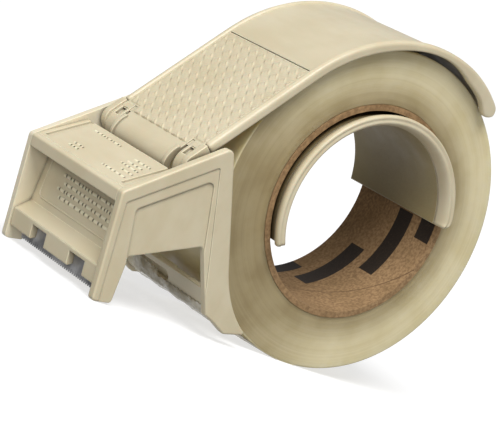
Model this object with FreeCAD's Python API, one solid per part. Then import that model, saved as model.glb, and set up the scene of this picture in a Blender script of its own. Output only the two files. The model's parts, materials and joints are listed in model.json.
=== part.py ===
import FreeCAD, Part
import math
import os

# Palm-held dispenser for box-sealing tape, in millimetres.
#
# The outlines are drawn in the dispenser's design frame: the origin is the centre of the tape roll,
# +X points from the blade towards the tail, +Z up from the roll to the grip, and the roll turns about Y.
# Negative Y is the open side, where the roll is slipped on. The last step tilts everything nose down
# until the two legs and the roll stand on one plane, and puts the origin on that plane.

V = FreeCAD.Vector

# --- tape roll ---------------------------------------------------------------------------------
ROLL_R = 60.35
CORE_OUT_R = 40.3
CORE_IN_R = 38.1
TAPE_HALF = 23.7
CORE_HALF = 23.85

# --- hub, a C-shaped sleeve that is open below, a little under the centre of a full roll -------------
HUB_CENTRE = (0.0, -0.8)
HUB_OUT_R = 37.0
HUB_IN_R = 34.4
HUB_START = -18.4
HUB_END = 181.5
LIP_OUT_R = 38.9
LIP_Y = (-30.2, -24.6)
LIP_RIM = 1.6
LIP_ROUND = 0.75

# --- cover: a flat grip that runs into an arch ----------------------------------------------------
GRIP_SLOPE = 22.6
GRIP_END = (-22.5, 58.5)
ARCH_R = 64.0
ARCH_ANGLE = 48.0
TAIL_R = 46.0
TAIL_ANGLE = 18.6
SHELL_T = 1.8
SHELL_HALF = 25.5
COVER_HALF = 28.3
BEAD_PROUD = 0.9
BEAD_DEPTH = 3.0
BEAD_SWELL_ANGLE = 54.0
BEAD_SWELL = (46.891, 39.366)
BEAD_INNER_END = (51.9, 27.4)
BEAD_TIP = (55.6, 24.6)
GRIP_LENGTH = 47.1
PAD_LENGTH = 49.6
PAD_HALF = 24.6
PAD_T = 0.35
PLATE_Y = (25.5, 27.5)
PLATE_START = 12.0

# --- spring tongue and hinge arms -----------------------------------------------------------------
TONGUE_HALF = 18.5
TONGUE_RIM = 1.7
RIM_PROUD = 0.8
TONGUE_FLAT = 7.2
TONGUE_R = 8.6
TONGUE_TURN = 96.0
ARM_INNER = 20.1
ARM_FLAT = 5.6
ARM_R = 7.0
ARM_TURN = 75.0
PIVOT = (-70.7, 34.3)
PIN_R = 3.25
BORE_R = 3.3
CHEEK_R = BORE_R + 1.45

# --- head -----------------------------------------------------------------------------------------
HEAD_HALF = 32.9
WALL_IN = 29.9
TOP_FRONT = (-101.6, 34.1)
TOP_REAR = (-58.2, 40.2)
LEG_FRONT = (-114.4, -2.0)
LEG_REAR = (-107.2, -4.9)
LEG_ROUND = 1.4
FRONT_LEAN = math.degrees(math.atan2(TOP_FRONT[0] - LEG_FRONT[0], TOP_FRONT[1] - LEG_FRONT[1]))
RIM_STEP = 0.35
PANEL_STEP = 0.6
PLATE_REAR = (-79.7, 35.0)
PLATE_T = 2.0
BAND_DROP = 4.4

# --- blade ----------------------------------------------------------------------------------------
BLADE_TIP = (-110.45, -1.5)
BLADE_Y = (-28.6, 25.4)
BLADE_T = 0.6
BLADE_HEIGHT = 8.3
TOOTH_PITCH = 1.35
TOOTH_DEPTH = 2.1


def vec(point, y=0.0):
    """A point of the XZ outline plane, at the given Y."""
    return V(point[0], y, point[1])


def towards(start, end, length):
    """The point at that length from start on the way to end."""
    span = math.dist(start, end)
    return (start[0] + (end[0] - start[0]) * length / span, start[1] + (end[1] - start[1]) * length / span)


def corner_arc(before, here, after, radius):
    """Start, middle, end and centre of the arc that rounds a corner."""
    to_before = math.atan2(before[1] - here[1], before[0] - here[0])
    to_after = math.atan2(after[1] - here[1], after[0] - here[0])
    half = abs(math.remainder(to_before - to_after, 2 * math.pi)) / 2
    inward = (here[0] + math.cos(to_before) + math.cos(to_after),
              here[1] + math.sin(to_before) + math.sin(to_after))
    centre = towards(here, inward, radius / math.sin(half))
    setback = radius / math.tan(half)
    top = towards(centre, here, radius)
    return towards(here, before, setback), top, towards(here, after, setback), centre


def outline(corners):
    """A face in the XZ plane from (x, z) or (x, z, radius) corners, with round corners as arcs."""
    starts = []
    arcs = []
    ends = []
    for i, corner in enumerate(corners):
        here = corner[:2]
        if len(corner) == 2:
            starts.append(here)
            ends.append(here)
            continue
        after = corners[(i + 1) % len(corners)][:2]
        start, top, end, _ = corner_arc(corners[i - 1][:2], here, after, corner[2])
        arcs.append(Part.Arc(vec(start), vec(top), vec(end)).toShape())
        starts.append(start)
        ends.append(end)
    lines = [Part.makeLine(vec(end), vec(start)) for end, start in zip(ends, starts[1:] + starts[:1])]
    return Part.Face(Part.Wire(Part.__sortEdges__(arcs + lines)))


def prism(face, y_low, y_high):
    """The XZ face as a solid from y_low to y_high."""
    moved = face.copy()
    moved.translate(V(0, y_low, 0))
    return moved.extrude(V(0, y_high - y_low, 0))


def bar(centre, radius, y_low, y_high):
    """A round bar along Y."""
    return Part.makeCylinder(radius, y_high - y_low, vec(centre, y_low), V(0, 1, 0))


def on_circle(centre, radius, angle):
    turn = math.radians(angle)
    return (centre[0] + radius * math.cos(turn), centre[1] + radius * math.sin(turn))


def arc(centre, radius, start, end):
    """An arc edge in the XZ plane between two angles."""
    angles = (start, (start + end) / 2, end)
    return Part.Arc(*[vec(on_circle(centre, radius, a)) for a in angles]).toShape()


def ring_sector(centre, r_in, r_out, start, end):
    """A face between two radii and two angles."""
    ends = ((r_out, end), (r_in, end), (r_in, start), (r_out, start))
    corners = [vec(on_circle(centre, r, a)) for r, a in ends]
    edges = [arc(centre, r_out, start, end), Part.makeLine(corners[0], corners[1]),
             arc(centre, r_in, end, start), Part.makeLine(corners[2], corners[3])]
    return Part.Face(Part.Wire(edges))


GRIP_UP = (-math.sin(math.radians(GRIP_SLOPE)), math.cos(math.radians(GRIP_SLOPE)))
GRIP_BACK = (GRIP_UP[1], -GRIP_UP[0])
ARCH_CENTRE = (GRIP_END[0] - ARCH_R * GRIP_UP[0], GRIP_END[1] - ARCH_R * GRIP_UP[1])
TAIL_CENTRE = on_circle(ARCH_CENTRE, ARCH_R - TAIL_R, ARCH_ANGLE)
FLAT_ANGLE = 90 + GRIP_SLOPE


def grip_point(along, above):
    """A point on the side view of the grip: along from the arch towards the hinge, above its surface."""
    return (GRIP_END[0] - along * GRIP_BACK[0] + above * GRIP_UP[0],
            GRIP_END[1] - along * GRIP_BACK[1] + above * GRIP_UP[1])


def grip_band(low, high, start, end):
    """A flat strip of the grip between two heights and two distances from the arch."""
    return outline([grip_point(start, low), grip_point(end, low),
                    grip_point(end, high), grip_point(start, high)])


def arch_band(low, high):
    """A strip of the arch between two heights: a wide arc, then a tighter one down to the tail."""
    outer_end = on_circle(TAIL_CENTRE, TAIL_R + high, TAIL_ANGLE)
    inner_end = on_circle(TAIL_CENTRE, TAIL_R + low, TAIL_ANGLE)
    edges = [arc(ARCH_CENTRE, ARCH_R + high, FLAT_ANGLE, ARCH_ANGLE),
             arc(TAIL_CENTRE, TAIL_R + high, ARCH_ANGLE, TAIL_ANGLE),
             Part.makeLine(vec(outer_end), vec(inner_end)),
             arc(TAIL_CENTRE, TAIL_R + low, TAIL_ANGLE, ARCH_ANGLE),
             arc(ARCH_CENTRE, ARCH_R + low, ARCH_ANGLE, FLAT_ANGLE),
             Part.makeLine(vec(grip_point(0, low)), vec(grip_point(0, high)))]
    return Part.Face(Part.Wire(edges))


def edges_at_y(shape, y):
    """The edges that lie wholly in one plane across Y."""
    return [e for e in shape.Edges if abs(e.BoundBox.YMin - y) < 1e-4 and abs(e.BoundBox.YMax - y) < 1e-4]


def mirrored(shape):
    return shape.mirror(V(0, 0, 0), V(0, 1, 0))


# --- handle ---------------------------------------------------------------------------------------
def arch_shell():
    """The smooth arch over the roll, with its rear edges rounded."""
    shell = prism(arch_band(-SHELL_T, 0), -SHELL_HALF, SHELL_HALF)
    tail_edge = on_circle(TAIL_CENTRE, TAIL_R, TAIL_ANGLE)
    across = [e for e in shell.Edges if e.BoundBox.YLength > SHELL_HALF]
    rear_edges = [e for e in across if math.dist((e.CenterOfMass.x, e.CenterOfMass.z), tail_edge) < 3]
    return shell.makeFillet(SHELL_T * 0.45, rear_edges)


def grip_plate():
    """The flat stretch under the palm, from the arch to the rear ends of the two slots."""
    plate = prism(grip_band(-SHELL_T, 0, 0, GRIP_LENGTH), -SHELL_HALF, SHELL_HALF)
    groove = prism(grip_band(-0.35, 1, 0.25, 0.75), -SHELL_HALF, SHELL_HALF)
    return plate.cut(groove)


def grip_pad():
    """The raised field that carries the woven non-slip pattern."""
    return prism(grip_band(0, PAD_T, 1.6, GRIP_LENGTH - 0.6), -PAD_HALF, PAD_HALF)


def bead_outline():
    """Side view of the rolled edge: it follows grip and arch and swells into a broad, round tail."""
    high = ARCH_R + BEAD_PROUD
    low = ARCH_R - BEAD_DEPTH
    swell_start = on_circle(ARCH_CENTRE, low, BEAD_SWELL_ANGLE)
    outer_end = on_circle(TAIL_CENTRE, TAIL_R + BEAD_PROUD, TAIL_ANGLE)
    top_front = vec(grip_point(GRIP_LENGTH, BEAD_PROUD))
    low_front = vec(grip_point(GRIP_LENGTH, -BEAD_DEPTH))
    edges = [Part.makeLine(top_front, vec(grip_point(0, BEAD_PROUD))),
             arc(ARCH_CENTRE, high, FLAT_ANGLE, ARCH_ANGLE),
             arc(TAIL_CENTRE, TAIL_R + BEAD_PROUD, ARCH_ANGLE, TAIL_ANGLE),
             Part.Arc(vec(outer_end), vec(BEAD_TIP), vec(BEAD_INNER_END)).toShape(),
             Part.Arc(vec(BEAD_INNER_END), vec(BEAD_SWELL), vec(swell_start)).toShape(),
             arc(ARCH_CENTRE, low, BEAD_SWELL_ANGLE, FLAT_ANGLE),
             Part.makeLine(vec(grip_point(0, -BEAD_DEPTH)), low_front),
             Part.makeLine(low_front, top_front)]
    return Part.Face(Part.Wire(edges))


def far_edge_bead():
    bead = prism(bead_outline(), SHELL_HALF, COVER_HALF)
    outer = [e for e in edges_at_y(bead, COVER_HALF) if e.Length > BEAD_PROUD + BEAD_DEPTH + 0.1]
    return bead.makeFillet(1.0, outer)


def rolled_strip(flat_length, radius, turn, y_low, y_high):
    """A strip of the cover that runs flat towards the hinge and then curls down round a bar."""
    flat_end = GRIP_LENGTH + flat_length
    curl = grip_point(flat_end, -radius)
    inner = radius - SHELL_T
    last = FLAT_ANGLE + turn
    start = vec(grip_point(GRIP_LENGTH, 0))
    inner_start = vec(grip_point(GRIP_LENGTH, -SHELL_T))
    edges = [Part.makeLine(start, vec(grip_point(flat_end, 0))),
             arc(curl, radius, FLAT_ANGLE, last),
             Part.makeLine(vec(on_circle(curl, radius, last)), vec(on_circle(curl, inner, last))),
             arc(curl, inner, last, FLAT_ANGLE),
             Part.makeLine(vec(grip_point(flat_end, -SHELL_T)), inner_start),
             Part.makeLine(inner_start, start)]
    return prism(Part.Face(Part.Wire(edges)), y_low, y_high)


def spring_tongue():
    """The curled centre strip that springs the head away from the roll, with a rim at each end."""
    strip = rolled_strip(TONGUE_FLAT, TONGUE_R, TONGUE_TURN, -TONGUE_HALF, TONGUE_HALF)
    curl = grip_point(GRIP_LENGTH + TONGUE_FLAT, -TONGUE_R)
    rim_start = FLAT_ANGLE - 12
    rim = ring_sector(curl, TONGUE_R - 0.5, TONGUE_R + RIM_PROUD, rim_start, FLAT_ANGLE + TONGUE_TURN)
    near_rim = prism(rim, -TONGUE_HALF, TONGUE_RIM - TONGUE_HALF)
    return strip.fuse([near_rim, mirrored(near_rim)]).removeSplitter()


def far_hinge_arm():
    """The strip beside a slot, with its small pocket, and the cheek that turns on the pivot pin."""
    strip = rolled_strip(ARM_FLAT, ARM_R, ARM_TURN, ARM_INNER, SHELL_HALF)
    pocket = prism(grip_band(-1.2, 1, GRIP_LENGTH + 2.4, GRIP_LENGTH + 6.6), 21.4, 24.4)
    rear = PIVOT[0] + CHEEK_R
    top_rear = grip_point(GRIP_LENGTH, BEAD_PROUD)
    low_rear = grip_point(GRIP_LENGTH, -BEAD_DEPTH)
    web = outline([top_rear, on_circle(PIVOT, CHEEK_R, FLAT_ANGLE),
                   on_circle(PIVOT, CHEEK_R, FLAT_ANGLE + 60), on_circle(PIVOT, CHEEK_R * 0.9, 270),
                   (rear, PIVOT[1]), (rear, low_rear[1] - 1.6), low_rear])
    cheek = prism(web, SHELL_HALF, COVER_HALF).fuse(bar(PIVOT, CHEEK_R, SHELL_HALF, COVER_HALF))
    cheek = cheek.cut(bar(PIVOT, BORE_R, SHELL_HALF - 1, COVER_HALF + 1))
    return strip.cut(pocket).fuse(cheek).removeSplitter()


def side_plate():
    """The web on the closed side that carries the hub under the arch."""
    low = -BEAD_DEPTH
    inner_front = grip_point(GRIP_LENGTH - 8, low)
    rear = on_circle(ARCH_CENTRE, ARCH_R + low, BEAD_SWELL_ANGLE)
    hub_right = on_circle(HUB_CENTRE, HUB_OUT_R, PLATE_START)
    hub_left = on_circle(HUB_CENTRE, HUB_OUT_R, HUB_END)
    edges = [Part.makeLine(vec(inner_front), vec(grip_point(0, low))),
             arc(ARCH_CENTRE, ARCH_R + low, FLAT_ANGLE, BEAD_SWELL_ANGLE),
             Part.makeLine(vec(rear), vec(hub_right)),
             arc(HUB_CENTRE, HUB_OUT_R, PLATE_START, HUB_END),
             Part.makeLine(vec(hub_left), vec(inner_front))]
    return prism(Part.Face(Part.Wire(edges)), *PLATE_Y)


def hub_sleeve():
    return prism(ring_sector(HUB_CENTRE, HUB_IN_R, HUB_OUT_R, HUB_START, HUB_END), LIP_Y[1], PLATE_Y[1])


def hub_lip():
    """The hub's open end, which flares out so that the core can't slide off."""
    front, rear = LIP_Y
    section = [(HUB_IN_R, rear), (HUB_OUT_R, rear), (LIP_OUT_R, front + LIP_RIM),
               (LIP_OUT_R, front), (HUB_IN_R, front)]
    corners = [V(HUB_CENTRE[0] + r, y, HUB_CENTRE[1]) for r, y in section]
    axis = V(0, -1, 0)
    face = Part.Face(Part.makePolygon(corners + corners[:1]))
    face.rotate(vec(HUB_CENTRE), axis, HUB_START)
    ring = face.revolve(vec(HUB_CENTRE), axis, HUB_END - HUB_START)
    rim = [e for e in edges_at_y(ring, front) if e.Length > 10]
    return ring.makeFillet(LIP_ROUND, rim)


# --- tape -----------------------------------------------------------------------------------------
def tape_core():
    return bar((0, 0), CORE_OUT_R, -CORE_HALF, CORE_HALF).cut(bar((0, 0), CORE_IN_R, -30, 30))


def tape_winding():
    return bar((0, 0), ROLL_R, -TAPE_HALF, TAPE_HALF).cut(bar((0, 0), CORE_OUT_R, -30, 30))


# --- head -----------------------------------------------------------------------------------------
def near_side_wall():
    """One side of the head: leg in front, plate in the middle, flange beside the roll behind."""
    wall = prism(outline([
        (*TOP_FRONT, 1.6), (*TOP_REAR, 2.4), (-60.9, -9.0, 50.0), (-59.0, -22.0, 40.0), (-54.0, -30.9, 0.8),
        (-63.4, -27.9, 2.0), (-67.2, -22.6, 4.0), (-70.4, -19.0, 1.0), (-70.6, 6.8, 1.2), (-99.8, 10.2, 0.8),
        (*LEG_REAR, LEG_ROUND), (*LEG_FRONT, LEG_ROUND)]), -HEAD_HALF, -WALL_IN)
    wall = wall.makeFillet(0.7, edges_at_y(wall, -HEAD_HALF))
    rim = outline([(-100.3, 30.1, 0.8), (-63.9, 34.4, 0.8), (-70.7, -14.0), (-86.0, -12.0), (-104.8, -9.0),
                   (-112.0, -2.6)])
    panel = outline([(-96.6, 26.7, 2.2), (-65.9, 30.1, 2.2), (-70.6, 4.0), (-101.0, 8.0)])
    wall = wall.cut(prism(rim, -HEAD_HALF - 1, RIM_STEP - HEAD_HALF))
    return wall.cut(prism(panel, -HEAD_HALF - 1, RIM_STEP + PANEL_STEP - HEAD_HALF))


def top_plate():
    """The plate between the walls, nearly level, so that the walls stand proud of it at the rear."""
    front = (TOP_FRONT[0] + 2.2, TOP_FRONT[1])
    rise = (PLATE_REAR[1] - TOP_FRONT[1]) / (PLATE_REAR[0] - TOP_FRONT[0])
    face = outline([(front[0], front[1] + 2.2 * rise), PLATE_REAR, (PLATE_REAR[0], PLATE_REAR[1] - PLATE_T),
                    (front[0], front[1] - PLATE_T)])
    plate = prism(face, -WALL_IN, WALL_IN)
    channel = prism(outline([(-98.0, 33.5), (-70.0, 34.6), (-70.0, 40.0), (-98.0, 40.0)]), 25.0, 27.6)
    return plate.cut([channel, mirrored(channel)])


def front_band():
    """The band above the window, in the leaning front plane."""
    lean = math.tan(math.radians(FRONT_LEAN))
    low = BAND_DROP * math.cos(math.radians(FRONT_LEAN))
    face = outline([(*TOP_FRONT, 0.9), (TOP_FRONT[0] + 2.2, TOP_FRONT[1] + 0.1),
                    (TOP_FRONT[0] + 2.2 - low * lean, TOP_FRONT[1] - low),
                    (TOP_FRONT[0] - low * lean, TOP_FRONT[1] - low, 0.4)])
    return prism(face, -WALL_IN, WALL_IN)


def on_blade(up, back):
    """A point of the side view: up the blade from its tips, and back from its front face."""
    lean = math.radians(FRONT_LEAN)
    return (BLADE_TIP[0] + up * math.sin(lean) + back * math.cos(lean),
            BLADE_TIP[1] + up * math.cos(lean) - back * math.sin(lean))


SILL = (-109.9, 8.3)
PANEL_FOOT = (-103.5, 9.8)
PANEL_TOP = (-91.6, 32.1)


def window_panel():
    """The slanted wall inside the window, with the sill in front and a rib down behind the blade."""
    face = outline([SILL, PANEL_FOOT, PANEL_TOP, (-89.3, 32.2), (-101.9, 8.2, 2.0), (-104.6, 7.4),
                    on_blade(4.3, BLADE_T + 1.5), on_blade(4.3, BLADE_T),
                    on_blade(8.5, BLADE_T), on_blade(8.5, 0)])
    return prism(face, -WALL_IN, WALL_IN)


def blade_bar():
    """The bar in front of the blade, with two notches that show the steel."""
    face = outline([SILL, on_blade(8.5, 0), on_blade(3.4, 0), (-112.1, 1.9, 0.6)])
    solid = prism(face, -WALL_IN, WALL_IN)
    notch = outline([(-113.5, 0.5), (-106.0, 0.5), (-106.0, 7.0), (-113.5, 7.0)])
    return solid.cut([prism(notch, 5.6, 15.8), prism(notch, -21.3, -10.6)])


def blade():
    """A strip of spring steel with a row of pointed teeth along its lower edge."""
    count = round((BLADE_Y[1] - BLADE_Y[0]) / TOOTH_PITCH)
    pitch = (BLADE_Y[1] - BLADE_Y[0]) / count
    points = [V(0, BLADE_Y[1], BLADE_HEIGHT), V(0, BLADE_Y[0], BLADE_HEIGHT), V(0, BLADE_Y[0], TOOTH_DEPTH)]
    for i in range(count):
        points.append(V(0, BLADE_Y[0] + (i + 0.5) * pitch, 0))
        points.append(V(0, BLADE_Y[0] + (i + 1) * pitch, TOOTH_DEPTH))
    strip = Part.Face(Part.makePolygon(points + points[:1])).extrude(V(BLADE_T, 0, 0))
    strip.rotate(V(0, 0, 0), V(0, 1, 0), FRONT_LEAN)
    strip.translate(vec(BLADE_TIP))
    return strip


BAR_FRONT = -65.6
NOSE_R = 6.0
NOSE_Z = -20.8
BAR_TOP = -13.6
BAR_T = 1.9
NOSE_TURN = 68.0
NOSE_CENTRE = (BAR_FRONT + NOSE_R, NOSE_Z)


def nose_strip(gap, thickness, top, turn):
    """Side view of a strip that runs down the guide bar's front and under its nose."""
    r_out = NOSE_R + gap + thickness
    r_in = NOSE_R + gap
    last = 180 + turn
    edges = [Part.makeLine(V(NOSE_CENTRE[0] - r_out, 0, top), vec(on_circle(NOSE_CENTRE, r_out, 180))),
             arc(NOSE_CENTRE, r_out, 180, last),
             Part.makeLine(vec(on_circle(NOSE_CENTRE, r_out, last)), vec(on_circle(NOSE_CENTRE, r_in, last))),
             arc(NOSE_CENTRE, r_in, last, 180),
             Part.makeLine(vec(on_circle(NOSE_CENTRE, r_in, 180)), V(NOSE_CENTRE[0] - r_in, 0, top)),
             Part.makeLine(V(NOSE_CENTRE[0] - r_in, 0, top), V(NOSE_CENTRE[0] - r_out, 0, top))]
    return Part.Face(Part.Wire(edges))


def guide_bar():
    """The bar across the head's lower rear that guides the tape, with one long, closed recess."""
    solid = prism(nose_strip(-BAR_T, BAR_T, BAR_TOP, NOSE_TURN), -WALL_IN, WALL_IN)
    recess = Part.makeBox(12, 22.0 - 4.4, 4.4, V(BAR_FRONT - 6, 2.2, -20.2))
    ends = [Part.makeCylinder(2.2, 12, V(BAR_FRONT - 6, y, -18.0), V(1, 0, 0)) for y in (2.2, 19.8)]
    back = Part.makeBox(0.8, 26.0, BAR_TOP - NOSE_Z, V(BAR_FRONT + BAR_T, -2.0, NOSE_Z))
    return solid.cut([recess] + ends).fuse(back).removeSplitter()


def near_pivot_pin():
    return bar(PIVOT, PIN_R, -WALL_IN, -0.3 - SHELL_HALF)


# --- tape end, stuck to the guide bar, and the free span from the roll ------------------------------
LEAD_T = 0.3
LEAD_TURN = 50.0
SPAN_GAP = 4.0


def tape_end():
    return prism(nose_strip(0.05, LEAD_T, -18.6, LEAD_TURN), -TAPE_HALF, TAPE_HALF)


def tape_span():
    """The straight span of tape between the guide bar's nose and the roll."""
    r_out = NOSE_R + 0.05 + LEAD_T
    start = on_circle(NOSE_CENTRE, r_out, 180 + LEAD_TURN + SPAN_GAP)
    roll_r = ROLL_R + 0.35
    reach = math.hypot(*start)
    tangent = 180 + math.degrees(math.atan2(-start[1], -start[0]) + math.acos(roll_r / reach))
    end = on_circle((0, 0), roll_r, tangent)
    across = (LEAD_T * math.cos(math.radians(tangent)), LEAD_T * math.sin(math.radians(tangent)))
    face = outline([start, end, (end[0] + across[0], end[1] + across[1]),
                    (start[0] + across[0], start[1] + across[1])])
    return prism(face, -TAPE_HALF, TAPE_HALF)


NEAR_WALL = near_side_wall()
FAR_ARM = far_hinge_arm()
FAR_BEAD = far_edge_bead()
NEAR_PIN = near_pivot_pin()

NODES = {
    "arch_shell": arch_shell(),
    "grip_plate": grip_plate(),
    "grip_pad": grip_pad(),
    "near_edge_bead": mirrored(FAR_BEAD),
    "far_edge_bead": FAR_BEAD,
    "spring_tongue": spring_tongue(),
    "near_hinge_arm": mirrored(FAR_ARM),
    "far_hinge_arm": FAR_ARM,
    "side_plate": side_plate(),
    "hub_sleeve": hub_sleeve(),
    "hub_lip": hub_lip(),
    "tape_span": tape_span(),
    "near_side_wall": NEAR_WALL,
    "far_side_wall": mirrored(NEAR_WALL),
    "top_plate": top_plate(),
    "front_band": front_band(),
    "window_panel": window_panel(),
    "blade_bar": blade_bar(),
    "blade": blade(),
    "guide_bar": guide_bar(),
    "near_pivot_pin": NEAR_PIN,
    "far_pivot_pin": mirrored(NEAR_PIN),
    "tape_end": tape_end(),
    "tape_core": tape_core(),
    "tape_winding": tape_winding(),
}


def rest_tilt():
    """The turn about Y that brings the legs' round tips down to the plane under the roll."""
    tip = corner_arc(LEG_REAR, LEG_FRONT, TOP_FRONT, LEG_ROUND)[3]
    lift = math.degrees(math.asin((ROLL_R - LEG_ROUND) / math.hypot(*tip)))
    return lift - math.degrees(math.atan2(-tip[1], -tip[0]))


TILT = rest_tilt()
for solid in NODES.values():
    solid.rotate(V(0, 0, 0), V(0, 1, 0), -TILT)
box = Part.makeCompound(list(NODES.values())).optimalBoundingBox(False)
ORIGIN = V((box.XMin + box.XMax) / 2, (box.YMin + box.YMax) / 2, box.ZMin)

os.makedirs("parts", exist_ok=True)
for name, solid in NODES.items():
    solid.translate(-ORIGIN)
    solid.exportStep("parts/" + name + ".step")

turn = math.radians(TILT)
for name, (x, z) in {"roll_axis": (0, 0), "pivot_axis": PIVOT}.items():
    print(name, round(x * math.cos(turn) - z * math.sin(turn) - ORIGIN.x, 4),
          round(-ORIGIN.y, 4), round(x * math.sin(turn) + z * math.cos(turn) - ORIGIN.z, 4))
print("tilt", round(TILT, 4), "origin", ORIGIN)
print("size", box.XLength, box.YLength, box.ZLength)
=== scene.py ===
import json
import math
import random

import bmesh
import bpy
from mathutils import Matrix, Vector, noise


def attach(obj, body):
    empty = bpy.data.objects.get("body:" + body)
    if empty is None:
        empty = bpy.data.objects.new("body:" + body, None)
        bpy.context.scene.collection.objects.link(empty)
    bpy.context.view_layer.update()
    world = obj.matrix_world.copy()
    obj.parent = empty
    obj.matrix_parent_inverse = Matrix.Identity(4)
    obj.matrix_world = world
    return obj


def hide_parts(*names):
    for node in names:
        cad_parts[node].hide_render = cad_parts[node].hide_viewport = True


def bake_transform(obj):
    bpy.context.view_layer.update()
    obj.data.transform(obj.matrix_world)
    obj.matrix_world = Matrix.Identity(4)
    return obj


# Looks for the tape gun dispenser. Its shapes are drawn in millimetres about the roll's centre, with X from
# the blade to the tail and Z up from the roll to the grip, and place() turns them into the frame's metres.

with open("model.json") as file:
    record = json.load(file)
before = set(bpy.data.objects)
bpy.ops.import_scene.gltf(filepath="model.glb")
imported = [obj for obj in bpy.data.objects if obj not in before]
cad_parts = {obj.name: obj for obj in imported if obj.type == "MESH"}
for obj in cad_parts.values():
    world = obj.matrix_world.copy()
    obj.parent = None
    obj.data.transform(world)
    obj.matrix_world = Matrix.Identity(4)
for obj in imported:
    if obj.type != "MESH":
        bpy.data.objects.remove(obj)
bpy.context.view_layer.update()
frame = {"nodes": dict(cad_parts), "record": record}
scene = bpy.context.scene
NODES = frame["nodes"]

MM = 0.001
DRAWN_PIVOT = (-70.7, 34.3)

AXES = {joint["name"]: Vector(joint["pos_m"]) for joint in frame["record"]["behaviour"]["joints"]}
ROLL_AXIS = AXES["roll_spin"]
ARM = AXES["head_pivot"] - ROLL_AXIS
TILT = math.atan2(DRAWN_PIVOT[1], DRAWN_PIVOT[0]) - math.atan2(ARM.z, ARM.x)
TO_FRAME = Matrix.Translation(ROLL_AXIS) @ Matrix.Rotation(TILT, 4, "Y") @ Matrix.Scale(MM, 4)


def place(x, y, z):
    """A drawing point in millimetres as a point of the frame in metres."""
    return TO_FRAME @ Vector((x, y, z))


def turned(x, y, z):
    """A drawing direction as a direction of the frame."""
    return (TO_FRAME.to_3x3() @ Vector((x, y, z))).normalized()


# --- camera -----------------------------------------------------------------------------------------
CAMERA_AT = (-440.3, -634.4, 320.7)
CAMERA_RIGHT = (0.840357, -0.542033, 0.0)
CAMERA_AHEAD = (0.498386, 0.772689, -0.393146)
LENS_MM = 164.64


def make_camera():
    """The camera in front of the blade's end and above it, with its roll taken from CAMERA_RIGHT."""
    data = bpy.data.cameras.new("camera")
    data.sensor_width = 36
    data.lens = LENS_MM
    data.clip_end = 20
    camera = bpy.data.objects.new("camera", data)
    right = turned(*CAMERA_RIGHT)
    ahead = turned(*CAMERA_AHEAD)
    up = right.cross(ahead)
    axes = Matrix((right, up, -ahead)).transposed()
    camera.matrix_world = Matrix.Translation(place(*CAMERA_AT)) @ axes.to_4x4()
    scene.collection.objects.link(camera)
    scene.camera = camera


# --- materials --------------------------------------------------------------------------------------
class Shader:
    """A material under construction: short calls that add nodes and link them."""

    def __init__(self, name):
        self.material = bpy.data.materials.new(name)
        self.material.use_nodes = True
        self.tree = self.material.node_tree
        self.surface = self.tree.nodes["Principled BSDF"]
        self.object = self.add("ShaderNodeTexCoord").outputs["Object"]

    def add(self, kind, **settings):
        node = self.tree.nodes.new(kind)
        for key, value in settings.items():
            setattr(node, key, value)
        return node

    def set(self, socket, value):
        if isinstance(value, bpy.types.NodeSocket):
            self.tree.links.new(value, socket)
        else:
            socket.default_value = value

    def math(self, operation, *values):
        node = self.add("ShaderNodeMath", operation=operation)
        for socket, value in zip(node.inputs, values):
            self.set(socket, value)
        return node.outputs[0]

    def noise(self, scale, detail=2.0, vector=None, roughness=0.5):
        node = self.add("ShaderNodeTexNoise")
        self.set(node.inputs["Vector"], vector or self.object)
        node.inputs["Scale"].default_value = scale
        node.inputs["Detail"].default_value = detail
        node.inputs["Roughness"].default_value = roughness
        return node.outputs["Fac"]

    def ramp(self, value, low, high, to_low=0.0, to_high=1.0):
        node = self.add("ShaderNodeMapRange", interpolation_type="SMOOTHSTEP")
        names = ("Value", "From Min", "From Max", "To Min", "To Max")
        for key, item in zip(names, (value, low, high, to_low, to_high)):
            self.set(node.inputs[key], item)
        return node.outputs["Result"]

    def mix(self, factor, a, b):
        node = self.add("ShaderNodeMix", data_type="RGBA")
        self.set(node.inputs[0], factor)
        self.set(node.inputs[6], (*a, 1) if isinstance(a, tuple) else a)
        self.set(node.inputs[7], (*b, 1) if isinstance(b, tuple) else b)
        return node.outputs[2]

    def bump(self, height, distance, strength=1.0, normal=None):
        node = self.add("ShaderNodeBump")
        self.set(node.inputs["Height"], height)
        node.inputs["Distance"].default_value = distance
        node.inputs["Strength"].default_value = strength
        if normal is not None:
            self.set(node.inputs["Normal"], normal)
        return node.outputs["Normal"]

    def soft_edges(self, radius):
        node = self.add("ShaderNodeBevel", samples=6)
        node.inputs["Radius"].default_value = radius
        return node.outputs["Normal"]

    def principled(self, **values):
        for key, value in values.items():
            self.set(self.surface.inputs[key.replace("_", " ")], value)


def linear(red, green, blue):
    """A display colour as the linear colour that Blender uses."""
    return tuple((c / 12.92 if c <= 0.04045 else ((c + 0.055) / 1.055) ** 2.4) for c in (red, green, blue))


PUTTY = linear(0.845, 0.80, 0.685)
PUTTY_DARK = linear(0.815, 0.765, 0.64)
# Painted shade: a darker copy of the plastic for the inside of the hub.
SHADED_LIGHT = linear(0.74, 0.68, 0.50)
SHADED_DARK = linear(0.71, 0.65, 0.465)
# Painted light: a lighter copy of the plastic for the guide bar, the far side wall and the side plate, which
# are seen in shade.
LIT_INNER_LIGHT = linear(0.90, 0.86, 0.76)
LIT_INNER_DARK = linear(0.87, 0.83, 0.72)
# Painted highlight: the lighter colour that edges and relief crests are mixed towards.
PAINTED_HIGHLIGHT = linear(0.98, 0.94, 0.81)
# Painted highlight: a lighter copy of the plastic for the raised marks.
MARK_HIGHLIGHT_LIGHT = linear(0.96, 0.925, 0.81)
MARK_HIGHLIGHT_DARK = linear(0.92, 0.88, 0.76)
# Painted shade: the darker colour of a relief pattern's valleys.
RELIEF_SHADE = linear(0.66, 0.60, 0.48)
# Painted shade: the colour that crevices, inner corners and hollows are darkened towards.
PAINTED_SHADE = linear(0.28, 0.22, 0.13)
EDGE_RADIUS = 0.65
CREVICE_SHADE = 0.6


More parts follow.
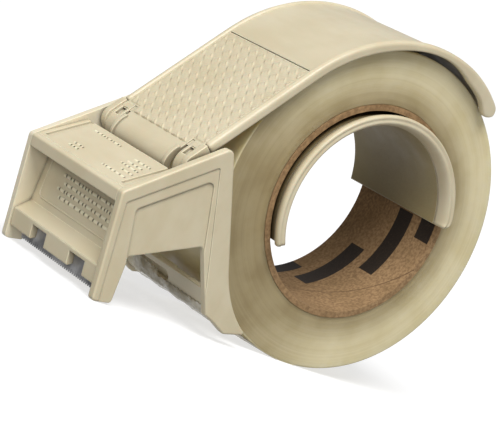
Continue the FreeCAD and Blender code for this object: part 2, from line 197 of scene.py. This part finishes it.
def plastic(name, light=PUTTY, dark=PUTTY_DARK, relief=False, nook=0.4, deep=0.0):
    """Satin moulded plastic: faint clouding and flow marks, fine spark grain, and a painted highlight along
    the edges.

    Relief paints shade into the valleys and a highlight on the crests of a pattern. Nook paints shade into
    inner corners, and deep paints shade over a whole hollow.
    """
    s = Shader(name)
    rounded = s.soft_edges(EDGE_RADIUS * MM)
    turn = s.add("ShaderNodeVectorMath", operation="DOT_PRODUCT")
    s.set(turn.inputs[0], rounded)
    s.set(turn.inputs[1], s.add("ShaderNodeNewGeometry").outputs["Normal"])
    # Painted highlight: edges, found where the rounded normal turns away from the true one, are lightened in
    # broken patches.
    highlight_patches = s.ramp(s.noise(130.0, 3.0), 0.2, 0.7, 0.5, 0.95)
    edge_highlight = s.math("MULTIPLY", s.ramp(turn.outputs["Value"], 0.998, 0.92), highlight_patches)
    flow = s.add("ShaderNodeMapping")
    s.set(flow.inputs["Vector"], s.object)
    flow.inputs["Scale"].default_value = (1.0, 0.25, 0.6)
    clouds = s.math("ADD", s.math("MULTIPLY", s.noise(38.0, 3.0), 0.6),
                    s.math("MULTIPLY", s.noise(210.0, 4.0, flow.outputs["Vector"]), 0.4))
    colour = s.mix(edge_highlight, s.mix(s.ramp(clouds, 0.35, 0.65), dark, light), PAINTED_HIGHLIGHT)
    if relief:
        # Painted shade and highlight: pointiness darkens the valleys of the relief and lightens its crests.
        point = s.add("ShaderNodeNewGeometry").outputs["Pointiness"]
        colour = s.mix(s.ramp(point, 0.45, 0.50, 0.35, 1.0), RELIEF_SHADE, colour)
        colour = s.mix(s.ramp(point, 0.505, 0.57, 0.0, 0.45), colour, PAINTED_HIGHLIGHT)
    # Painted shade: ambient occlusion over three reaches darkens crevices, inner corners (nook) and whole
    # hollows (deep).
    for reach, low, high, amount in ((2.5, 0.3, 0.8, CREVICE_SHADE), (25, 0.1, 0.7, nook), (70, 0.25, 0.95, deep)):
        if not amount:
            continue
        hollow = s.add("ShaderNodeAmbientOcclusion", samples=8)
        hollow.inputs["Distance"].default_value = reach * MM
        colour = s.mix(s.ramp(hollow.outputs["AO"], low, high), s.mix(amount, colour, PAINTED_SHADE), colour)
    rough = s.math("ADD", s.ramp(s.noise(160.0, 4.0), 0.3, 0.7, 0.29, 0.41),
                   s.math("MULTIPLY", s.noise(1400.0), 0.04))
    normal = s.bump(s.noise(3200.0, 2.0), 0.012 * MM, 0.6, rounded)
    s.principled(Base_Color=colour, Roughness=rough, Normal=normal, Subsurface_Weight=0.06,
                 Subsurface_Scale=0.002, Specular_IOR_Level=0.6)
    return s.material


STEEL_DARK = (0.26, 0.26, 0.27)
STEEL_LIGHT = (0.60, 0.60, 0.61)


def steel():
    """Spring steel with fine grinding streaks and faint stains."""
    s = Shader("blade_steel")
    stretched = s.add("ShaderNodeMapping")
    s.set(stretched.inputs["Vector"], s.object)
    stretched.inputs["Scale"].default_value = (1.0, 12.0, 1.0)
    streaks = s.noise(700.0, 4.0, stretched.outputs["Vector"])
    stains = s.noise(140.0, 3.0)
    s.principled(Base_Color=s.mix(s.ramp(stains, 0.35, 0.7), STEEL_DARK, STEEL_LIGHT),
                 Metallic=0.5, Roughness=s.ramp(streaks, 0.3, 0.7, 0.3, 0.5),
                 Normal=s.bump(streaks, 0.02 * MM, 0.5))
    return s.material


def around_roll(s):
    """Radius, angle and place along the axis, in metres, radians and metres, about the roll's axis."""
    parts = s.add("ShaderNodeSeparateXYZ")
    s.set(parts.inputs[0], s.object)
    x = s.math("SUBTRACT", parts.outputs["X"], ROLL_AXIS.x)
    z = s.math("SUBTRACT", parts.outputs["Z"], ROLL_AXIS.z)
    radius = s.math("SQRT", s.math("ADD", s.math("MULTIPLY", x, x), s.math("MULTIPLY", z, z)))
    return radius, s.math("ARCTAN2", z, x), parts.outputs["Y"]


ROLL_SHADE_ANGLE = math.radians(212)
# Painted shade and light: tones for the shaded inside of the roll and for its lit outside.
WOUND_SHADED = (linear(0.585, 0.515, 0.365), linear(0.665, 0.60, 0.45))
WOUND_LIT = (linear(0.85, 0.795, 0.62), linear(0.90, 0.855, 0.71))


def wound_tape():
    """Layers of clear film seen edge on: pale straw, cloudy and glossy, with faint rings.

    Painted shade darkens it towards the core and on the side where the handle and the head shade it, and
    painted light brightens its outer face.
    """
    s = Shader("tape_wound")
    radius, angle, along = around_roll(s)
    rings = s.add("ShaderNodeCombineXYZ")
    s.set(rings.inputs["X"], radius)
    s.set(rings.inputs["Y"], s.math("MULTIPLY", along, 0.03))
    fine = s.noise(1800.0, 3.0, rings.outputs[0])
    broad = s.noise(200.0, 2.0, rings.outputs[0])
    clouds = s.noise(75.0, 3.0)
    layers = s.math("ADD", s.math("MULTIPLY", fine, 0.2), s.math("MULTIPLY", broad, 0.3))
    layers = s.math("ADD", layers, s.math("MULTIPLY", clouds, 0.5))
    towards_shade = s.math("COSINE", s.math("SUBTRACT", angle, ROLL_SHADE_ANGLE))
    lit = s.math("SUBTRACT", 1.0, s.ramp(towards_shade, 0.2, 0.95, 0.0, 0.9))
    # Painted shade towards the core and away from the light, and painted light over the outer face.
    painted_light_mask = s.math("MULTIPLY", s.ramp(radius, 0.039, 0.053), lit)
    painted_light_mask = s.math("MAXIMUM", painted_light_mask, s.ramp(radius, 0.0597, 0.0601))
    inner = s.mix(s.ramp(layers, 0.38, 0.62), *WOUND_SHADED)
    outer = s.mix(s.ramp(layers, 0.38, 0.62), *WOUND_LIT)
    s.principled(Base_Color=s.mix(painted_light_mask, inner, outer), Roughness=s.ramp(fine, 0.3, 0.7, 0.28, 0.40),
                 Normal=s.bump(fine, 0.02 * MM, 0.4), Subsurface_Weight=0.45, Subsurface_Scale=0.008,
                 Subsurface_Radius=(1.0, 0.9, 0.6), Coat_Weight=0.25, Coat_Roughness=0.2)
    return s.material


CORE_R = 38.1
PRINT_ROW = 13.2
PRINT_STEP = 20.9
PRINT_HALF_LENGTH = 14.3
PRINT_HALF_WIDTH = 4.2
PRINT_Y = 8.1
PRINT_ARC = -49.5
WRAP_SLOPE = PRINT_ROW / PRINT_STEP
WRAP_ARC = math.tau * CORE_R / 2
SEAM_FROM_PRINT = -21.3


def kraft():
    """Spiral-wound kraft board: fibres, a butt seam, and plain dark blocks printed in slanting rows."""
    s = Shader("core_board")
    radius, angle, along = around_roll(s)
    y = s.math("DIVIDE", along, MM)
    arc = s.math("MULTIPLY", s.math("ADD", angle, TILT), CORE_R)
    fibres = s.noise(900.0, 6.0)
    speck = s.noise(2600.0, 2.0)
    board = s.mix(s.ramp(fibres, 0.3, 0.7), linear(0.53, 0.422, 0.302), linear(0.675, 0.55, 0.40))
    board = s.mix(s.ramp(s.noise(120.0, 3.0), 0.4, 0.7, 0.0, 0.35), board, linear(0.51, 0.41, 0.28))
    board = s.mix(s.ramp(speck, 0.60, 0.72, 0.0, 0.4), board, linear(0.42, 0.31, 0.23))

    inside = s.ramp(radius, (CORE_R + 0.5) * MM, (CORE_R + 0.2) * MM)
    row = s.math("ROUND", s.math("DIVIDE", s.math("SUBTRACT", PRINT_Y, y), PRINT_ROW))
    across = s.math("ADD", s.math("SUBTRACT", y, PRINT_Y), s.math("MULTIPLY", row, PRINT_ROW))
    across = s.math("ABSOLUTE", across)
    around = s.math("SUBTRACT", arc, PRINT_ARC)
    lengthwise = s.math("SUBTRACT", around, s.math("MULTIPLY", row, PRINT_STEP))
    lengthwise = s.math("ABSOLUTE", s.math("WRAP", lengthwise, WRAP_ARC / 2, -WRAP_ARC / 2))
    block = s.math("MULTIPLY", s.ramp(across, PRINT_HALF_WIDTH, PRINT_HALF_WIDTH - 0.3),
                   s.ramp(lengthwise, PRINT_HALF_LENGTH, PRINT_HALF_LENGTH - 0.3))
    ink = s.math("MULTIPLY", s.math("MULTIPLY", block, inside), s.ramp(speck, 0.25, 0.4, 0.8, 0.96))
    board = s.mix(ink, board, linear(0.13, 0.11, 0.10))

    strip = s.math("ADD", s.math("SUBTRACT", y, PRINT_Y + SEAM_FROM_PRINT),
                   s.math("MULTIPLY", around, WRAP_SLOPE))
    strip = s.math("ABSOLUTE", s.math("WRAP", strip, WRAP_ARC * WRAP_SLOPE / 2, -WRAP_ARC * WRAP_SLOPE / 2))
    seam = s.math("MULTIPLY", s.ramp(strip, 0.35, 0.1), inside)
    board = s.mix(s.math("MULTIPLY", seam, 0.7), board, linear(0.33, 0.24, 0.17))
    relief = s.math("SUBTRACT", s.math("MULTIPLY", fibres, 0.5), seam)
    s.principled(Base_Color=board, Roughness=s.ramp(block, 0.0, 1.0, 0.88, 0.6),
                 Normal=s.bump(relief, 0.12 * MM, 0.7), Specular_IOR_Level=0.25)
    return s.material


FILM_CLEAR = linear(0.86, 0.82, 0.71)
FILM_MILKY = linear(0.98, 0.96, 0.90)


def film():
    """Crumpled clear film: milky where it is creased, nearly clear between, with sharp glints."""
    s = Shader("tape_film")
    crease = s.noise(150.0, 3.0)
    milk = s.ramp(crease, 0.35, 0.68)
    s.principled(Base_Color=s.mix(milk, FILM_CLEAR, FILM_MILKY),
                 Roughness=s.ramp(s.noise(900.0), 0.3, 0.7, 0.2, 0.35),
                 Alpha=s.ramp(crease, 0.3, 0.7, 0.40, 0.78),
                 Normal=s.bump(crease, 0.3 * MM, 0.6), Coat_Weight=0.5, Coat_Roughness=0.12)
    return s.material


def dress(objects, material):
    """Gives objects one material in place of any other."""
    for item in objects:
        item.data.materials.clear()
        item.data.materials.append(material)


# --- mesh pieces --------------------------------------------------------------------------------------
def sheet_mesh(name, rows, closed_rows=False, closed_columns=False):
    """A smooth mesh over rows of drawing points, each row with the same number of points."""
    width = len(rows[0])
    vertices = [place(*point) for row in rows for point in row]
    faces = []
    for i in range(len(rows) if closed_rows else len(rows) - 1):
        for j in range(width if closed_columns else width - 1):
            here, there = i * width, (i + 1) % len(rows) * width
            ahead = (j + 1) % width
            faces.append((here + j, here + ahead, there + ahead, there + j))
    mesh = bpy.data.meshes.new(name)
    mesh.from_pydata(vertices, [], faces)
    mesh.shade_smooth()
    piece = bpy.data.objects.new(name, mesh)
    scene.collection.objects.link(piece)
    return piece


def finish_piece(piece, body, material, slot, *nodes):
    """Dresses a piece, hides the CAD nodes that it stands for and ties it to its body. The slot is not used.
    """
    dress([piece], material)
    if nodes:
        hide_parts(*nodes)
    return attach(piece, body)


GRIP_SLOPE = math.radians(22.6)
GRIP_FRONT = (-65.98, 40.4)
GRIP_LENGTH = 47.1
ARCH_R = 64.0
ARCH_CENTRE = (2.1, -0.6)
FLAT_ANGLE = 112.6
ARCH_ANGLE = 48.0
TAIL_R = 46.0
TAIL_CENTRE = (14.14, 12.78)
TAIL_ANGLE = 18.6


def grip_point(along, y, above):
    """A point of the grip: along from its front end towards the arch, and above its surface."""
    return (GRIP_FRONT[0] + along * math.cos(GRIP_SLOPE) - above * math.sin(GRIP_SLOPE), y,
            GRIP_FRONT[1] + along * math.sin(GRIP_SLOPE) + above * math.cos(GRIP_SLOPE))


def arch_point(angle, y, above):
    """A point of the arch: a wide arc down to ARCH_ANGLE, then a tighter one down to the tail."""
    centre, radius = (ARCH_CENTRE, ARCH_R) if angle > ARCH_ANGLE else (TAIL_CENTRE, TAIL_R)
    turn = math.radians(angle)
    reach = radius + above
    return (centre[0] + reach * math.cos(turn), y, centre[1] + reach * math.sin(turn))


STRAND = 3.54
BOLD_RISE = 0.40
FAINT_RISE = 0.12
PAD_BURIED = 0.25
PAD_STEP = 0.25
PAD_HALF = 24.6
PAD_FRONT = -2.9
PAD_REAR = 46.3
SLOT_FRONT_HALF = 18.3


def ease(value):
    """A smooth step from 0 to 1."""
    value = min(max(value, 0), 1)
    return value * value * (3 - 2 * value)


def weave(along, y):
    """Height of the woven pattern: strands at 45 degrees that pass over and under, each with fine ribs."""
    p = (along + y) / math.sqrt(2) / STRAND
    q = (along - y) / math.sqrt(2) / STRAND
    u, w = p - math.floor(p) - 0.5, q - math.floor(q) - 0.5
    bold = (math.floor(p) + math.floor(q)) % 2 == 0
    lengthwise, across = (u, w) if bold else (w, u)
    flank = ease((0.5 - abs(across)) / 0.14)
    crest = 0.3 + 0.7 * math.cos(math.pi * lengthwise) ** 2
    rise = BOLD_RISE if bold else FAINT_RISE
    return 0.06 + rise * flank * crest + 0.03 * math.cos(6 * math.pi * across)


def pad_edge(along, y):
    """Distance from the nearest edge of the woven field, which narrows between the two slots."""
    inner = min(PAD_HALF - abs(y), PAD_REAR - along, along - PAD_FRONT)
    return min(inner, max(along - 0.3, SLOT_FRONT_HALF - abs(y)))


def weave_pad():
    """The woven field as a sheet whose rim dips below the plastic around it."""
    rows = []
    for i in range(round((PAD_REAR - PAD_FRONT) / PAD_STEP) + 1):
        along = PAD_FRONT + i * PAD_STEP
        row = []
        for j in range(-round(PAD_HALF / PAD_STEP), round(PAD_HALF / PAD_STEP) + 1):
            y = j * PAD_STEP
            rise = min(max(pad_edge(along, y) / 0.4, 0), 1)
            row.append(grip_point(along, y, -PAD_BURIED + rise * (PAD_BURIED + weave(along, y))))
        rows.append(row)
    return sheet_mesh("grip_weave", rows)


BEAD_SECTION = ((25.0, -0.9), (25.5, 0.25), (25.9, 0.72), (26.4, 0.9), (26.9, 0.78), (27.2, 0.62),
                (27.5, 0.55), (27.9, 0.3), (28.2, -0.15), (28.3, -0.8), (28.22, -1.6), (28.3, -2.4),
                (28.1, -2.85), (27.6, -3.0), (26.4, -3.0), (25.4, -2.9), (25.0, -2.2))
BEAD_DEPTH = 3.0
BEAD_MIDDLE = 26
TIP_ARC = 3.4
TIP_TURNS = (0.3, 0.6, 0.85, 1.1, 1.3, 1.45, 1.54)


def bead_row(side, angle, inset):
    """One section of the rolled edge on the arch, thinner at first and deeper down the tail.

    Inset is 1 along the arch and falls to 0 at the rounded tip.
    """
    waist = 0.9 * ease((88 - angle) / 26) * (1 - ease((60 - angle) / 14))
    grown = 1.3 * ease((54 - angle) / 13) + 1.3 * ease((32 - angle) / 12)
    deep = (BEAD_DEPTH - waist + grown) / BEAD_DEPTH
    wide = 0.8 * ease((50 - angle) / 16)
    row = []
    for y, h in BEAD_SECTION:
        above = h * deep if h < 0 else h
        middle = -BEAD_DEPTH * deep / 2 + 0.4
        inner = wide if y < BEAD_MIDDLE and h < 0 else 0
        row.append(arch_point(angle, side * (y - inner), middle + (above - middle) * inset))
    return row


def edge_bead(name, side):
    """The rolled edge on one side, from the hinge along the grip and over the arch to its rounded tip."""
    rows = [[grip_point(GRIP_LENGTH * i / 24, side * y, h) for y, h in BEAD_SECTION] for i in range(24)]
    tip = TAIL_ANGLE + TIP_ARC
    rows += [bead_row(side, FLAT_ANGLE + (tip - FLAT_ANGLE) * i / 84, 1.0) for i in range(85)]
    rows += [bead_row(side, tip - TIP_ARC * math.sin(turn), math.cos(turn)) for turn in TIP_TURNS]
    bead = sheet_mesh(name, rows, closed_columns=True)
    cap_ends(bead, len(BEAD_SECTION))
    smooth(bead, 1)
    return bead


HUB_CENTRE = (0.0, -0.8)
HUB_START = -18.4
HUB_END = 181.5
HUB_STEPS = 120
RIM_R = 34.4
TIP_NARROWING = 0.62
RIM_SECTION = ((RIM_R, -24.6), (34.42, -25.8), (34.55, -27.0), (34.85, -28.2), (35.3, -29.2), (35.9, -29.95),
               (36.4, -30.2), (36.85, -30.0), (37.2, -29.85), (37.7, -30.0), (38.1, -30.2), (38.55, -29.95),
               (38.85, -29.4), (38.9, -28.6), (38.6, -27.5), (38.0, -26.4), (37.3, -25.4), (37.0, -24.6))
RIM_TIP_ARC = 4.5


def hub_rim():
    """The hub's flared end: two soft ridges with a groove between, and a rounded tip at the tail side."""
    rows = []
    for i in range(HUB_STEPS + 1):
        angle = HUB_START + (HUB_END - HUB_START) * i / HUB_STEPS
        if i == 0:
            # The tip starts a hair inside the hub's end face.
            angle += 0.02
        tip = max(1 - (angle - HUB_START) / RIM_TIP_ARC, 0)
        narrow = 1 - TIP_NARROWING * (1 - math.sqrt(1 - min(tip, 0.999) ** 2))
        turn = math.radians(angle)
        row = []
        for r, y in RIM_SECTION:
            reach = RIM_R + (r - RIM_R) * narrow
            row.append((HUB_CENTRE[0] + reach * math.cos(turn), y, HUB_CENTRE[1] + reach * math.sin(turn)))
        rows.append(row)
    rim = sheet_mesh("hub_rim", rows, closed_columns=True)
    cap_ends(rim, len(RIM_SECTION))
    return rim


PANEL_FOOT = (-103.5, 9.8)
PANEL_TOP = (-91.6, 32.1)
PLATE_FRONT = (-99.4, 34.19)
PLATE_REAR = (-79.7, 35.0)
PLATE_LINES = ((3.5, 8, 14), (5.6, 8, 14), (16.4, 1, 19), (14.4, -22, -12), (11.8, -21, -11),
               (9.6, -22, -10), (7.0, -23, -14), (4.0, -23, -8))


def on_slab(start, end):
    """A function from (along, y, above) on the flat surface that runs from start to end in side view."""
    size = math.dist(start, end)
    ahead = ((end[0] - start[0]) / size, (end[1] - start[1]) / size)

    def point(along, y, above):
        return (start[0] + along * ahead[0] - above * ahead[1], y,
                start[1] + along * ahead[1] + above * ahead[0])
    return point


RIDGE_TOP = 0.26
RIDGE = ((-0.5, -0.1), (-0.36, 0.14), (-0.14, RIDGE_TOP), (0.14, RIDGE_TOP), (0.36, 0.14), (0.5, -0.1))


def raised_line(name, surface, path, width, height, closed=False):
    """A raised line with a round back that follows (along, y) points on a surface."""
    rows = []
    last = len(path) - 1
    for i, (along, y) in enumerate(path):
        before = path[i - 1] if closed or i else path[i]
        after = path[(i + 1) % len(path)] if closed or i < last else path[i]
        run = (after[0] - before[0], after[1] - before[1])
        size = math.hypot(*run)
        side = (-run[1] / size, run[0] / size)
        rows.append([surface(along + side[0] * w * width, y + side[1] * w * width, h / RIDGE_TOP * height)
                     for w, h in RIDGE])
    return sheet_mesh(name, rows, closed_rows=closed)


def round_corners(low, high, y_low, y_high, radius):
    """A rounded rectangle as (along, y) points."""
    path = []
    for along, y, start in ((high - radius, y_high - radius, 0), (low + radius, y_high - radius, 90),
                            (low + radius, y_low + radius, 180), (high - radius, y_low + radius, 270)):
        for i in range(7):
            turn = math.radians(start + 15 * i)
            path.append((along + radius * math.cos(turn), y + radius * math.sin(turn)))
    return path


DASH_SHORTEST = 0.7
DASH_LONGEST = 3.4
DASH_GAP = 0.9
DASH_MARGIN = 0.8


def raised_dashes(name, surface, lines, width, height):
    """Rows of short raised dashes, where the real mould has lettering, as one piece."""
    pick = random.Random(7)
    pieces = []
    for along, y, y_end in lines:
        while y < y_end - DASH_MARGIN:
            size = min(pick.uniform(DASH_SHORTEST, DASH_LONGEST), y_end - y)
            path = [(along, y + size * k / 4) for k in range(5)]
            pieces.append(raised_line(f"{name}_{len(pieces)}", surface, path, width, height))
            y += size + DASH_GAP
    with bpy.context.temp_override(active_object=pieces[0], selected_editable_objects=pieces):
        bpy.ops.object.join()
    pieces[0].name = name
    return pieces[0]


def cap_ends(piece, width):
    """Closes the first and last row of a swept mesh."""
    mesh = bmesh.new()
    mesh.from_mesh(piece.data)
    mesh.verts.ensure_lookup_table()
    count = len(mesh.verts)
    mesh.faces.new([mesh.verts[i] for i in range(width)][::-1])
    mesh.faces.new([mesh.verts[i] for i in range(count - width, count)])
    bmesh.ops.recalc_face_normals(mesh, faces=mesh.faces)
    mesh.to_mesh(piece.data)
    mesh.free()
    piece.data.shade_smooth()


def smooth(piece, levels):
    """Rounds a piece by subdivision."""
    modifier = piece.modifiers.new("rounding", "SUBSURF")
    modifier.levels = levels
    modifier.render_levels = levels


ROLL_R = 60.35
WOUND_IN_R = 40.32
TAPE_HALF = 23.7
ROLL_CORNER = 0.7
ROLL_SEGMENTS = 240
LAYER_SETBACK = 0.12
CORNER_TURNS = (0.3, 0.7, 1.1, 1.5)


def wound_roll():
    """The winding as a lathed ring: the layers' edges wander in and out, and the corners are soft."""
    face = []
    for i in range(49):
        r = WOUND_IN_R + (ROLL_R - ROLL_CORNER - WOUND_IN_R) * i / 48
        face.append((r, TAPE_HALF - LAYER_SETBACK - 0.05 * noise.noise(Vector((r * 0.9, 3.1, 0)))
                     - 0.03 * noise.noise(Vector((r * 3.1, 7.7, 0)))))
    corner = [(ROLL_R - ROLL_CORNER + ROLL_CORNER * math.sin(turn),
               TAPE_HALF - LAYER_SETBACK - ROLL_CORNER * (1 - math.cos(turn))) for turn in CORNER_TURNS]
    profile = [(r, y) for r, y in face + corner] + [(r, -y) for r, y in reversed(face + corner)]
    rows = []
    for i in range(ROLL_SEGMENTS):
        turn = math.tau * i / ROLL_SEGMENTS
        rows.append([(r * math.cos(turn), y, r * math.sin(turn)) for r, y in profile])
    return sheet_mesh("wound_roll", rows, closed_rows=True, closed_columns=True)


NOSE_CENTRE = (-59.6, -20.8)
NOSE_R = 6.0
NOSE_TURN = 54.0
NOSE_LIFT = 0.2
LAID_LIFT = 0.12
STUCK_TOP = -14.6
STUCK_STEP = 0.6
FILM_STEP = 0.5
FREE_END = 30
LAID_START = 34


def film_line():
    """Side view of the free tape: down the guide bar's front, round its nose and on to the roll."""
    r = NOSE_R + NOSE_LIFT
    leave = math.radians(180 + NOSE_TURN)
    start = (NOSE_CENTRE[0] + r * math.cos(leave), NOSE_CENTRE[1] + r * math.sin(leave))
    roll_r = ROLL_R + LAID_LIFT
    tangent = math.pi + math.atan2(-start[1], -start[0]) + math.acos(roll_r / math.hypot(*start))
    end = (roll_r * math.cos(tangent), roll_r * math.sin(tangent))
    points = [(NOSE_CENTRE[0] - r, STUCK_TOP - STUCK_STEP * i) for i in range(10)]
    for i in range(13):
        turn = math.radians(180 + NOSE_TURN * i / 12)
        points.append((NOSE_CENTRE[0] + r * math.cos(turn), NOSE_CENTRE[1] + r * math.sin(turn)))
    for i in range(1, 31):
        points.append((start[0] + (end[0] - start[0]) * i / 30, start[1] + (end[1] - start[1]) * i / 30))
    for i in range(1, 12):
        turn = tangent + math.radians(1.2 * i)
        points.append((roll_r * math.cos(turn), roll_r * math.sin(turn)))
    return points


def film_top(y):
    """Height of the torn edge: pointed steps on the far side, lower and flatter on the near side."""
    tooth = abs((y / 2.7) % 1 - 0.5) * 2
    if y > 6.5:
        return -15.6 - 0.9 * tooth - 0.09 * (23.7 - y)
    return -19.6 - 0.5 * tooth


def tape_lead():
    """The free tape: stuck to the guide bar, loose and crumpled below it, laid flat on the roll."""
    line = film_line()
    rows = []
    for j in range(round(2 * TAPE_HALF / FILM_STEP) + 1):
        y = -TAPE_HALF + j * FILM_STEP
        top = film_top(y)
        row = []
        for i, (x, z) in enumerate(line):
            before, after = line[max(i - 1, 0)], line[min(i + 1, len(line) - 1)]
            along = (after[0] - before[0], after[1] - before[1])
            size = math.hypot(*along)
            out = (along[1] / size, -along[0] / size)
            free = min(max((FREE_END - i) / 12, 0.05), 1) * min(1, 0.3 + i / 10)
            puff = free * (0.5 * noise.noise(Vector((y * 0.16, i * 0.22, 1.0)))
                           + 0.3 * noise.noise(Vector((y * 0.45, i * 0.35, 5.0))))
            lift = max(0.05, 0.35 * free + puff) if i < LAID_START else 0.02
            row.append((x - abs(out[0]) * lift, y, min(z, top) - abs(out[1]) * lift))
        rows.append(row)
    return sheet_mesh("tape_lead", rows)


# --- set --------------------------------------------------------------------------------------------
def make_floor():
    """A pale floor that shows the shadow, but neither shades nor lights the dispenser."""
    s = Shader("floor_paper")
    s.principled(Base_Color=s.mix(s.noise(3.0), (0.44, 0.44, 0.44), (0.48, 0.48, 0.48)), Roughness=1.0,
                 Specular_IOR_Level=0.0, Emission_Color=(1, 1, 1, 1), Emission_Strength=0.62)
    bpy.ops.mesh.primitive_plane_add(size=30)
    floor = bpy.context.object
    floor.name = "floor"
    floor.visible_diffuse = False
    floor.visible_glossy = False
    floor.visible_shadow = False
    dress([floor], s.material)


# SOFT_FROM and KEY_FROM are drawing directions, and BACK_FROM is a direction of the frame.
SOFT_FROM = (0.08, -0.80, 0.60)
SOFT_LOW = 0.04
SOFT_HIGH = 0.30
FLOOR_BOUNCE = 0.38
BACK_FROM = (0.62, 0.72, 0.30)
BACK_FILL = 0.42
BACKDROP = 1.3
KEY_FROM = (0.07, -0.49, 0.87)
KEY_POWER = 2.6
KEY_SPREAD = math.radians(35)
STRIP_AT = (-420, -260, 420)
STRIP_AIM = (-60, 0, 20)
STRIP_SIZE = 0.25
STRIP_POWER = 1.0


def strip_light():
    """A small disk above the blade's end, for highlights along the edges of the head."""
    data = bpy.data.lights.new("strip", "AREA")
    data.shape = "DISK"
    data.size = STRIP_SIZE
    data.energy = STRIP_POWER
    light = bpy.data.objects.new("strip", data)
    spot = place(*STRIP_AT)
    aim = (place(*STRIP_AIM) - spot).to_track_quat("-Z", "Y")
    light.matrix_world = Matrix.Translation(spot) @ aim.to_matrix().to_4x4()
    scene.collection.objects.link(light)


def lobe(tree, axis, start, low, high):
    """Strength of a soft light that grows from low to high as the direction turns to the axis."""
    direction = tree.nodes.new("ShaderNodeTexCoord")
    facing = tree.nodes.new("ShaderNodeVectorMath")
    facing.operation = "DOT_PRODUCT"
    facing.inputs[1].default_value = axis
    strength = tree.nodes.new("ShaderNodeMapRange")
    strength.interpolation_type = "SMOOTHSTEP"
    strength.inputs["From Min"].default_value = start
    strength.inputs["From Max"].default_value = start + 1.0
    strength.inputs["To Min"].default_value = low
    strength.inputs["To Max"].default_value = high
    tree.links.new(direction.outputs["Generated"], facing.inputs[0])
    tree.links.new(facing.outputs["Value"], strength.inputs["Value"])
    return strength.outputs["Result"]


def make_light():
    """Soft light from above and in front, weaker from behind and below, over a white backdrop."""
    world = bpy.data.worlds.new("studio")
    world.use_nodes = True
    tree = world.node_tree
    sky = tree.nodes["Background"]
    sky.inputs["Color"].default_value = (1, 1, 1, 1)
    rays = tree.nodes.new("ShaderNodeLightPath")
    around = tree.nodes.new("ShaderNodeMath")
    around.operation = "ADD"
    tree.links.new(lobe(tree, turned(*SOFT_FROM), -0.4, SOFT_LOW, SOFT_HIGH), around.inputs[0])
    tree.links.new(lobe(tree, BACK_FROM, 0.0, 0.0, BACK_FILL), around.inputs[1])
    total = tree.nodes.new("ShaderNodeMath")
    total.operation = "ADD"
    tree.links.new(lobe(tree, (0, 0, -1), 0.0, 0.0, FLOOR_BOUNCE), total.inputs[0])
    tree.links.new(around.outputs[0], total.inputs[1])
    tree.links.new(total.outputs[0], sky.inputs["Strength"])
    white = tree.nodes.new("ShaderNodeBackground")
    white.inputs["Strength"].default_value = BACKDROP
    choose = tree.nodes.new("ShaderNodeMixShader")
    tree.links.new(rays.outputs["Is Camera Ray"], choose.inputs[0])
    tree.links.new(sky.outputs[0], choose.inputs[1])
    tree.links.new(white.outputs[0], choose.inputs[2])
    tree.links.new(choose.outputs[0], tree.nodes["World Output"].inputs["Surface"])
    scene.world = world
    data = bpy.data.lights.new("key", "SUN")
    data.energy = KEY_POWER
    data.angle = KEY_SPREAD
    key = bpy.data.objects.new("key", data)
    key.matrix_world = (-turned(*KEY_FROM)).to_track_quat("-Z", "Y").to_matrix().to_4x4()
    scene.collection.objects.link(key)
    strip_light()


scene.view_settings.view_transform = "Standard"
make_camera()
make_floor()
make_light()

HANDLE = plastic("handle_plastic")
HEAD = plastic("head_plastic")
BODIES = frame["record"]["behaviour"]["bodies"]
dress([NODES[n] for n in BODIES["handle"]], HANDLE)
dress([NODES[n] for n in BODIES["head"]], HEAD)
# Painted shade: the hub sleeve gets the darker copy and deep occlusion shade, and the tongue deep occlusion
# shade.
dress([NODES["hub_sleeve"]], plastic("shaded_plastic", SHADED_LIGHT, SHADED_DARK, deep=0.85))
dress([NODES["spring_tongue"]], plastic("tongue_plastic", deep=0.55))
# Painted light: these parts get the lighter copy of the plastic and none of the painted corner shade.
INNER = [NODES[n] for n in ("guide_bar", "far_side_wall", "side_plate")]
dress(INNER, plastic("lit_inner_plastic", LIT_INNER_LIGHT, LIT_INNER_DARK, nook=0.0))
dress([NODES["blade"]], steel())
dress([NODES["tape_core"]], kraft())

finish_piece(weave_pad(), "handle", plastic("grip_texture", relief=True), "grip_texture", "grip_pad")
finish_piece(edge_bead("near_rolled_edge", -1), "handle", HANDLE, "handle_plastic", "near_edge_bead")
finish_piece(edge_bead("far_rolled_edge", 1), "handle", HANDLE, "handle_plastic", "far_edge_bead")
finish_piece(hub_rim(), "handle", HANDLE, "handle_plastic", "hub_lip")
PANEL = on_slab(PANEL_FOOT, PANEL_TOP)
PLATE = on_slab(PLATE_FRONT, PLATE_REAR)
# Painted highlight: the raised marks use a lighter copy of the plastic in place of the light they catch.
HIGHLIGHTED_MARKS = plastic("raised_marks_highlight", MARK_HIGHLIGHT_LIGHT, MARK_HIGHLIGHT_DARK)
outline = round_corners(2.8, 23.6, -26.4, 26.4, 2.0)
border = raised_line("panel_border", PANEL, outline, 0.9, 0.35, closed=True)
finish_piece(border, "head", HEAD, "head_plastic")
heading = raised_dashes("panel_heading", PANEL, [(20.3, -23, 12)], 2.4, 0.45)
finish_piece(heading, "head", HIGHLIGHTED_MARKS, "head_plastic")
PANEL_LINES = [(16.8 - 2.6 * i, -23, 17 - i % 3) for i in range(5)]
small = raised_dashes("panel_marks", PANEL, PANEL_LINES, 1.5, 0.4)
finish_piece(small, "head", HIGHLIGHTED_MARKS, "head_plastic")
corner = raised_dashes("plate_marks", PLATE, PLATE_LINES, 1.1, 0.3)
finish_piece(corner, "head", HIGHLIGHTED_MARKS, "head_plastic")
finish_piece(wound_roll(), "roll", wound_tape(), "tape_wound", "tape_winding")
lead = tape_lead()
dress([lead], film())
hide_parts("tape_span", "tape_end")
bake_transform(lead)
